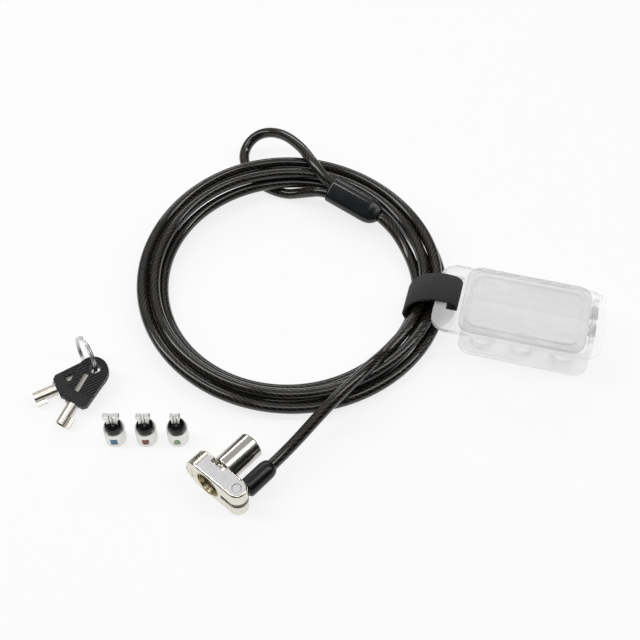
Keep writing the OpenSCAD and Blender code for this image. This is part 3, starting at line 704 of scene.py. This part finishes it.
def tube_mesh(name, route, radius):
    """A round tube along a route in layout mm. UV: along in mm, and once round without twist."""
    rings = []
    run = [0.0]
    side = None
    for i, middle in enumerate(route):
        ahead = (route[min(i + 1, len(route) - 1)] - route[max(i - 1, 0)]).normalized()
        side = side or ahead.cross(Z_UP)
        side = (side - ahead * side.dot(ahead)).normalized()
        up = ahead.cross(side)
        turns = [2 * pi * k / CABLE_SIDES for k in range(CABLE_SIDES)]
        rings.append([layout(*(middle + radius * (side * cos(a) + up * sin(a)))) for a in turns])
        if i:
            run.append(run[-1] + (middle - route[i - 1]).length)
    return grid_mesh(name, rings, uvs=lambda i, k: (run[i], k / CABLE_SIDES))


def add_cords(ferrule):
    """The cable from the strain relief to the ferrule, and its end loop."""
    for name, route, nodes, leaves, far_end, lay, pieces in [
        ("cable", main_route(), ["cable_lead", "cable_coil", "cable_tail"],
            head_point(PIVOT_X, RELIEF_END, SOCKET_Z), "fitting", "coiled", [ferrule]),
        ("end_loop", loop_route(), ["cable_loop"],
            ferrule_point(0, -LEG_OFFSET), "object", "loose", []),
    ]:
        mesh = tube_mesh(name, route, CABLE_R)
        obj = add_mesh(name, mesh, "cable", CABLE_AND_CASE, nodes)


FERRULE_OUTLINE = [  # (place along the sleeve, how far its section draws in)
    (0, 0.7), (0.12, 0.3), (0.45, 0.06), (1, 0), (10, 0), (20.5, 0), (22, 0.1), (23.6, 0.45),
    (25, 1.0), (26.2, 1.75), (26.9, 2.5), (27.3, 3.1),
]
FERRULE_SIDES = 48
# Past this much drawing in, the section also gets narrower, by this share of the rest.
NARROWS_FROM = 1.0
NARROWS_BY = 0.9


def add_ferrule():
    """An oval sleeve with a cut left end, whose other end narrows round the cable."""
    rings = []
    for along, inset in FERRULE_OUTLINE:
        radius = FERRULE_T / 2 - min(inset, FERRULE_T / 2 - CABLE_R)
        half = LEG_OFFSET - max(inset - NARROWS_FROM, 0) * NARROWS_BY
        ring = []
        for k in range(FERRULE_SIDES):
            a = 2 * pi * (k + 0.5) / FERRULE_SIDES
            y = half * (1 if cos(a) > 0 else -1) + radius * cos(a)
            ring.append(FERRULE @ Vector((-along, y, radius * sin(a))))
        rings.append(ring)
    mesh = grid_mesh("ferrule", rings)
    return add_mesh("ferrule", mesh, "ferrule", CABLE_AND_CASE, ["loop_ferrule"])


# ---------- turned pieces ----------
TURNED_SIDES = 64


def turned_mesh(name, matrix, profile):
    """A profile of (radius, place along y) spun about the matrix's own y axis."""
    turns = [2 * pi * k / TURNED_SIDES for k in range(TURNED_SIDES)]
    rings = [
        [matrix @ Vector((radius * cos(a), along, radius * sin(a))) for a in turns]
        for radius, along in profile
    ]
    return grid_mesh(name, rings, closed_along=True)


SOCKET_AXIS = HEAD @ Matrix.Translation((0, 0, SOCKET_Z))


def add_turned(node, material, profile, width):
    """A round piece of the lock, in place of its CAD node."""
    mesh = softened(
        turned_mesh(node, SOCKET_AXIS, profile), [(every_edge, width)], segments=2, merge=False
    )
    add_mesh(node + "_piece", mesh, material, frame["nodes"][node]["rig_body"], [node])


RELIEF_BORE = CABLE_R + 0.1
RELIEF_PROFILE = [  # (radius, place along the cable): a straight sleeve with a long soft nose
    (RELIEF_BORE, RELIEF_START), (3.4, RELIEF_START), (3.75, 9.2), (3.95, 9.5), (4, 9.9),
    (4, 19.4), (3.98, 20.4), (3.9, 21.3), (3.75, 22), (3.5, 22.7), (3.3, 23.1), (3.1, 23.4),
    (2.9, RELIEF_END), (RELIEF_BORE, RELIEF_END), (RELIEF_BORE, 16),
]


def add_strain_relief():
    """The moulded sleeve where the cable leaves the lock head."""
    axis = HEAD @ Matrix.Translation((PIVOT_X, 0, SOCKET_Z))
    mesh = turned_mesh("strain_relief", axis, RELIEF_PROFILE)
    add_mesh(
        "strain_relief_sleeve", mesh, "rubber", CABLE_AND_CASE, ["strain_relief"]
    )


# ---------- strap ----------
STRAP_LINE = [  # (x, z) in the case's frame
    (-13.3, 6.2), (-12.5, 10.2), (-10.8, 13.9), (-8.2, 16.9), (-4.6, 19.1), (-1, 20.4), (3, 20.6),
    (6.5, 20.2), (8.7, 18.9), (9.4, 16.6), (8.4, 12), (6.6, 7.5), (4.6, 3.4), (1.4, 1),
    (-5, 0.85), (-11, 0.95), (-13, 2.6),
]
STRAP_W = 15.5
STRAP_T = 1.3
STRAP_Y = 3.25
STRAP_CORNER = 0.35
STRAP_PIECES = 6


def strap_line():
    """The band's closed middle line. Its last corner, low at the left, is left out."""
    points = [Vector((x, 0, z)) for x, z in STRAP_LINE]
    run_over = points[-2:] + points + points[:2]
    curve = curve_through(run_over, STRAP_PIECES)
    return curve[2 * STRAP_PIECES:-3 * STRAP_PIECES]


def add_strap():
    """The woven band round the coil and through the case's slot."""
    line = strap_line()
    half_w = STRAP_W / 2
    half_t = STRAP_T / 2
    corner = STRAP_CORNER
    section = [  # (across, outward), with rounded selvedges
        (-half_w + corner, half_t), (0, half_t), (half_w - corner, half_t),
        (half_w, half_t - corner), (half_w, corner - half_t), (half_w - corner, -half_t),
        (0, -half_t), (corner - half_w, -half_t), (-half_w, corner - half_t),
        (-half_w, half_t - corner),
    ]
    rings = []
    run = [0.0]
    for i, middle in enumerate(line):
        ahead = (line[(i + 1) % len(line)] - line[i - 1]).normalized()
        outward = Vector((-ahead.z, 0, ahead.x))
        rings.append([
            CASE @ (middle + outward * out + Vector((0, STRAP_Y + across, 0)))
            for across, out in section
        ])
        run.append(run[-1] + (line[(i + 1) % len(line)] - middle).length)
    across_at = [0.0]
    for a, b in zip(section, section[1:] + section[:1]):
        across_at.append(across_at[-1] + sqrt((a[0] - b[0]) ** 2 + (a[1] - b[1]) ** 2))
    mesh = grid_mesh("strap", rings, closed_along=True, uvs=lambda i, k: (run[i], across_at[k]))
    add_mesh("strap_band", mesh, "strap", CABLE_AND_CASE, ["strap"])


# ---------- lock head ----------
# In the head's frame x runs along the bracket, y from its front face to its back, and z up.
HEAD_H = 14.5
HEAD_DEPTH = 8.7
HEAD_LEFT = 12.7
HEAD_ROUNDING = 1.0
SOCKET_R = 6
SOCKET_DEPTH = 2.6
# A short cone breaks the socket's edge.
LIP_R = 6.4
LIP_FROM = -0.1
LIP_TO = 0.3
LIP_TAPER = 0.08
THROAT_R = 4.5
THROAT_DEPTH = 6
BARREL_BORE_R = 4.3
PLUG_X = -9.35
PLUG_R = 2.4
PLUG_DEPTH = 1.6
PLUG_ROUNDING = 0.15
GROOVE_X = (PLUG_X + 0.65, PLUG_X + 0.95)
GROOVE_Z = (4, 10)
GROOVE_DEPTH = 0.35
PIN_R = 1.8
# The plug and the pivot pin show a fine dark line round them.
SEAM = 0.15
EYE_SLOT_FROM = 7.6
EYE_SLOT_Z = (5.95, 8.55)
NOTCH_HALF = 3.7
NOTCH_FROM_Y = 6.2
NOTCH_FROM_Z = 9.9
FACES_UP = 0.995
# Cutters go this far past a face, or to this far from the bracket's middle.
PAST = 1
OUTSIDE = 20

RING_PROFILE = [  # (radius, place along the socket's axis), in steps that get narrower
    (SOCKET_R, 0.2), (SOCKET_R, SOCKET_DEPTH), (4.6, SOCKET_DEPTH), (4.6, 1.77), (5.07, 1.77),
    (5.07, 0.94), (5.53, 0.94), (5.53, 0.2),
]
BARREL_PROFILE = [  # (radius, place along the socket's axis)
    (2.8, 6), (BARREL_BORE_R, 6), (BARREL_BORE_R, 8.9), (5.15, 8.9), (5.75, 9.5), (5.75, 25.3),
    (5.15, 25.9), (4, 25.9), (4, 24.9), (4.5, 24.9), (4.5, 10.7), (2.8, 10.7),
]


def circle(x, y, radius, from_degrees=0, to_degrees=360, steps=64):
    """Points of a circle or an arc. An arc keeps both its ends."""
    count = steps if to_degrees - from_degrees >= 360 else steps + 1
    turns = [radians(from_degrees + (to_degrees - from_degrees) * k / steps) for k in range(count)]
    return [(x + radius * cos(a), y + radius * sin(a)) for a in turns]


def oblong(x_from, x_to, y_from, y_to):
    return [(x_from, y_from), (x_to, y_from), (x_to, y_to), (x_from, y_to)]


def bar(outline, start, end, taper=0.0):
    """A solid that runs along y, from its outline in x and z. Its far end may be smaller."""
    middle = Vector((sum(x for x, _ in outline), 0, sum(z for _, z in outline))) / len(outline)
    rings = []
    for y, size in ((start, 1), (end, 1 - taper)):
        rings.append([middle + (Vector((x, 0, z)) - middle) * size + Vector((0, y, 0))
            for x, z in outline])
    return grid_mesh("bar", rings)


def post(outline, start, end):
    """A solid that stands along z, from its outline in x and y."""
    return grid_mesh("post", [[Vector((x, y, z)) for x, y in outline] for z in (start, end)])


def bracket_block():
    """The bracket's outside: its left end is round from the front, its right end from above."""
    end_r = HEAD_H / 2
    lobe_r = HEAD_DEPTH / 2
    front = circle(end_r - HEAD_LEFT, end_r, end_r, 90, 270, 32)
    front += [(OUTSIDE, 0), (OUTSIDE, HEAD_H)]
    plan = circle(PIVOT_X, lobe_r, lobe_r, -90, 90, 32)
    plan += [(-OUTSIDE, HEAD_DEPTH), (-OUTSIDE, 0)]
    tall = post(plan, -PAST, HEAD_H + PAST)
    block = combined(bar(front, -PAST, HEAD_DEPTH + PAST), [tall], "INTERSECT")
    return softened(block, [(every_edge, HEAD_ROUNDING)], segments=4, unit=1)


def bracket_mesh():
    """The bracket's block with its holes, the eye's slot and the notch cut out."""
    block = bracket_block()
    back = HEAD_DEPTH + PAST
    holes = [
        bar(circle(0, SOCKET_Z, SOCKET_R), -PAST, SOCKET_DEPTH),
        bar(circle(0, SOCKET_Z, LIP_R), LIP_FROM, LIP_TO, taper=LIP_TAPER),
        bar(circle(0, SOCKET_Z, THROAT_R), -PAST, THROAT_DEPTH),
        bar(circle(0, SOCKET_Z, BARREL_BORE_R), THROAT_DEPTH - PAST, back),
        bar(circle(PLUG_X, SOCKET_Z, PLUG_R), -PAST, PLUG_DEPTH),
        post(circle(PIVOT_X, HEAD_DEPTH / 2, PIN_R + SEAM), -PAST, HEAD_H + PAST),
        bar(oblong(EYE_SLOT_FROM, OUTSIDE, *EYE_SLOT_Z), -PAST, back),
        bar(oblong(-NOTCH_HALF, NOTCH_HALF, NOTCH_FROM_Z, OUTSIDE), NOTCH_FROM_Y, back),
    ]
    return softened(combined(block, holes, "DIFFERENCE"), [], unit=1, merge=False)


def plug_mesh():
    """The round plug in the bracket's left end, with an upright groove across it."""
    plug = bar(circle(PLUG_X, SOCKET_Z, PLUG_R - SEAM), 0, PLUG_DEPTH)
    plug = softened(plug, [(every_edge, PLUG_ROUNDING)], unit=1, merge=False)
    groove = bar(oblong(*GROOVE_X, *GROOVE_Z), -PAST, GROOVE_DEPTH)
    return softened(combined(plug, [groove], "DIFFERENCE"), [], unit=1, merge=False)


def add_head():
    """The bracket, polished on its sides and satin on top, and what it carries."""
    mesh = bracket_mesh()
    mesh.transform(HEAD)
    add_mesh(
        "head_bracket_piece", mesh, ["nickel", "satin_nickel"], "lock_head", ["head_bracket"],
    )
    for face in mesh.polygons:
        if face.normal.z > FACES_UP:
            face.material_index = 1
    plug = plug_mesh()
    plug.transform(HEAD)
    add_mesh("end_plug_piece", plug, "nickel", "lock_head", ["end_plug"])
    add_turned("socket_ring", "brass", RING_PROFILE, 0.08)
    add_turned("barrel_shell", "chrome", BARREL_PROFILE, 0.2)
    dress("pivot_pin", "satin_nickel", 0.25)
    # Painted shade: the eye is coloured dark so that its slot in the bracket reads as a dark gap.
    dress("swivel_eye", "dark_steel", 0.2)
    dress("drive_spindle", "brass", 0.12)
    dress("key_plug", "nickel", 0.1)


# ---------- case ----------
def is_foot_edge(edge):
    return max(v.co.z for v in edge.verts) < 0.1 * MM


def is_other_edge(edge):
    return not is_foot_edge(edge)


def add_case():
    """The clear case, rounder along its foot than elsewhere."""
    tray = dress(
        "case_tray", "tray", segments=3,
        widths=[(is_foot_edge, 2.0), (is_other_edge, 0.35)],
    )
    dress("case_lid", "lid", 0.4, segments=3)
    pin = dress("case_hinge_pin", "tray", 0.2)
    for piece in (tray, pin):
        add_own_places(piece, CASE.inverted())


# ---------- keys ----------
KEYS = [("key_a", 64.5, 0), ("key_b", 27, -1)]  # name, azimuth, level on the ring
TANG_FROM = 10.0


def add_keys():
    """Two tubular keys. Past its bright tube each shank goes on as a rougher flat tang, whose
    colour is darkened as painted shade where it shows through the head's windows.
    """
    for key, azimuth, level in KEYS:
        head = dress(key + "_head", "key_plastic", 0.5, segments=3)
        to_key = key_frame(azimuth, level).inverted()
        add_own_places(head, to_key)
        shank = dress(key + "_shank", ["key_nickel", "tang_steel_painted_shade"], 0.15)
        for face in shank.data.polygons:
            if (to_key @ face.center).x > TANG_FROM:
                face.material_index = 1


RING_R = 8.5
RING_TILT = 5
RING_AZIMUTH = 124
RING_WIRE = 0.8
RING_REST = 0.65
RING_INSET = 0.5
# Both turns of the wire lie inside the CAD ring, which is one thicker solid.
WIRE_HALF = RING_WIRE / 2 * 0.94
WIRE_FLATNESS = 0.98
WIRE_EDGE = 0.5
# Degrees along the wire: where it starts, how far it goes and where it crosses over.
WIRE_FROM = 100
WIRE_SWEEP = 690
WIRE_STEP = 6
CROSS_FROM = 325
CROSS_LENGTH = 40
TURN_OFFSET = 0.4


def wire_section():
    """Corners of the flat wire as (outward, sideways). One of its edges is sharp and proud."""
    half = WIRE_HALF
    return [
        (half, WIRE_EDGE), (0.9 * half, half), (-0.9 * half, half), (-half, 0.5 * half),
        (-half, -0.5 * half), (-0.9 * half, -half), (0.9 * half, -half), (half, -0.5 * half),
    ]


def add_key_ring():
    """Two turns of flat wire, side by side, that cross over once."""
    middle_z = RING_R * cos(radians(RING_TILT)) + RING_REST
    reach = sqrt(RING_R**2 - (KEY_HOLE.z - middle_z) ** 2) - RING_INSET
    frame_of_ring = (
        layout_frame((KEY_HOLE.x, KEY_HOLE.y, middle_z), (RING_AZIMUTH, "Z"))
        @ Matrix.Translation((reach, 0, 0))
        @ Matrix.Rotation(radians(90 + RING_TILT), 4, "X")
    )
    rings = []
    for step in range(0, WIRE_SWEEP + 1, WIRE_STEP):
        t = radians(WIRE_FROM + step)
        cross = min(max((step - CROSS_FROM) / CROSS_LENGTH, 0), 1)
        axial = TURN_OFFSET * (2 * (3 * cross**2 - 2 * cross**3) - 1)
        out = Vector((cos(t), sin(t), 0))
        rings.append([
            frame_of_ring @ (out * (RING_R + a) + Vector((0, 0, axial + b * WIRE_FLATNESS)))
            for a, b in wire_section()
        ])
    mesh = grid_mesh("key_ring", rings)
    add_mesh("split_ring", mesh, "steel", "ring", ["key_ring"])


# ---------- tips ----------
# The middle tip's place, and the distance from each to the next.
TIP_MIDDLE = Vector((-71.9, -62.4, 0))
TIP_PITCH = 13
CAP_FOOT = 8.05
DOME_R = 3.8
DOME_TOP = 12.8
DOME_FOOT = 9.0
DOME_STEP = 6
SPIGOT_R = 3.29
SPIGOT_FOOT = 5.8
SLOT_HALF_W = 1.35
# Name, the colour of its mark, half the length of the slot in its cap, place in the row.
TIPS = [
    ("tip_a", "mark_blue", 3.05, -1),
    ("tip_b", "mark_red", 2.85, 0),
    ("tip_c", "mark_green", 2.35, 1),
]


def cap_mesh(slot_half, place):
    """A smooth dome on a spigot, slotted for the arms."""
    profile = [(SPIGOT_R, SPIGOT_FOOT), (SPIGOT_R, CAP_FOOT), (DOME_R, CAP_FOOT)]
    for degrees in range(0, 90, DOME_STEP):
        a = radians(degrees)
        profile.append((DOME_R * cos(a), DOME_FOOT + (DOME_TOP - DOME_FOOT) * sin(a)))
    dome = grid_mesh("cap", [[Vector((x, y, z)) for x, y in circle(0, 0, r)] for r, z in profile])
    slot = post(oblong(-slot_half, slot_half, -SLOT_HALF_W, SLOT_HALF_W), 0, OUTSIDE)
    mesh = softened(combined(dome, [slot], "DIFFERENCE"), [], unit=1, merge=False)
    mesh.transform(layout_frame(TIP_MIDDLE + Vector((place * TIP_PITCH, 0, 0))))
    return mesh


def add_tips():
    """Three locking tips in a row, alike but for their marks and their slots."""
    for tip, colour, slot_half, place in TIPS:
        dress(tip + "_body", "tip_nickel", 0.5, segments=3)
        cap = cap_mesh(slot_half, place)
        add_mesh(tip + "_cap_piece", cap, "black_gloss", tip, [tip + "_cap"])
        dress(tip + "_spreader", "steel", 0.1)
        dress(tip + "_arm_left", "tip_nickel", 0.15)
        dress(tip + "_arm_right", "tip_nickel", 0.15)
        dress(tip + "_mark", colour, 0.06)


# ---------- inner pieces ----------
INNER_PIECES = [
    ("crimp_sleeve", "steel"), ("cable_crimp", "steel"), ("pin_block", "brass"),
    ("driver_pins", "brass"), ("pin_springs", "steel"), ("key_pins", "brass"),
]


def finish_inner_pieces():
    """Pieces that nothing shows keep their CAD shapes and get a material."""
    for node, material in INNER_PIECES:
        mesh = frame["nodes"][node].data
        mesh.materials.clear()
        mesh.materials.append(MATERIALS[material])


# ---------- studio ----------
FLOOR_SIZE = 6
FLOOR_DROP = 0.0001
FLOOR_GLOW = 0.8


def add_floor():
    """A white table, which glows in part where it is seen directly or in a piece."""
    bpy.ops.mesh.primitive_plane_add(size=FLOOR_SIZE, location=(0, 0, -FLOOR_DROP))
    floor = bpy.context.object
    floor.name = "floor"
    made = Shader("floor", Roughness=0.9, Specular_IOR_Level=0.1)
    made.colour(made.noise(2), (0.0, grey(0.9)), (1.0, grey(0.92)))
    path = made.node("ShaderNodeLightPath").outputs
    seen = made.maths("MAXIMUM", path["Is Camera Ray"], path["Is Glossy Ray"])
    seen = made.maths("MAXIMUM", seen, path["Is Transmission Ray"])
    glow = made.node("ShaderNodeEmission", {"Strength": 1.0})
    mixed = made.node("ShaderNodeMixShader", {0: made.maths("MULTIPLY", seen, FLOOR_GLOW)})
    made.links.new(made.surface.outputs[0], mixed.inputs[1])
    made.links.new(glow.outputs[0], mixed.inputs[2])
    made.links.new(mixed.outputs[0], made.nodes["Material Output"].inputs["Surface"])
    floor.data.materials.append(made.material)


LAMPS = [  # name, place in metres, (width, height) in metres, watts
    ("left_lamp", (-0.75, 0.1, 0.95), (0.26, 1.1), 5.5),
    ("right_lamp", (0.7, 0.05, 1.0), (0.26, 1.1), 4.5),
    ("front_lamp", (0.05, -0.55, 1.2), (0.7, 0.5), 2.5),
    ("back_lamp", (-0.1, 1.0, 0.6), (1.0, 0.12), 2.5),
]


def add_lamp(name, place, size, power):
    lamp = bpy.data.lights.new(name, "AREA")
    lamp.shape = "RECTANGLE"
    lamp.size, lamp.size_y = size
    lamp.energy = power
    obj = bpy.data.objects.new(name, lamp)
    bpy.context.scene.collection.objects.link(obj)
    obj.location = place
    obj.rotation_euler = (-Vector(place)).to_track_quat("-Z", "Y").to_euler()


SKY_LEAN = (-0.2, 0.45, 1.0)
SKY = [  # (a direction's dot product with SKY_LEAN, grey level)
    (0.0, 0.01), (0.3, 0.02), (0.7, 0.15), (1.0, 0.55),
]


def add_world():
    """A pale sky overhead and behind that falls to dark in front, as a studio does."""
    world = bpy.data.worlds.new("studio")
    world.use_nodes = True
    bpy.context.scene.world = world
    nodes, links = world.node_tree.nodes, world.node_tree.links
    where = nodes.new("ShaderNodeTexCoord")
    lean = nodes.new("ShaderNodeVectorMath")
    lean.operation = "DOT_PRODUCT"
    lean.inputs[1].default_value = SKY_LEAN
    links.new(where.outputs["Generated"], lean.inputs[0])
    ramp = nodes.new("ShaderNodeValToRGB")
    for _ in SKY[2:]:
        ramp.color_ramp.elements.new(0.5)
    for element, (position, value) in zip(ramp.color_ramp.elements, SKY):
        element.position = position
        element.color = (value, value, value, 1)
    links.new(lean.outputs["Value"], ramp.inputs["Fac"])
    links.new(ramp.outputs["Color"], nodes["Background"].inputs["Color"])
    nodes["Background"].inputs["Strength"].default_value = 1.0


def main():
    add_camera()
    add_cords(add_ferrule())
    add_strain_relief()
    add_strap()
    add_head()
    add_case()
    add_keys()
    add_key_ring()
    add_tips()
    finish_inner_pieces()
    add_floor()
    add_world()
    for lamp in LAMPS:
        add_lamp(*lamp)
    bpy.context.scene.view_settings.view_transform = "Standard"


main()
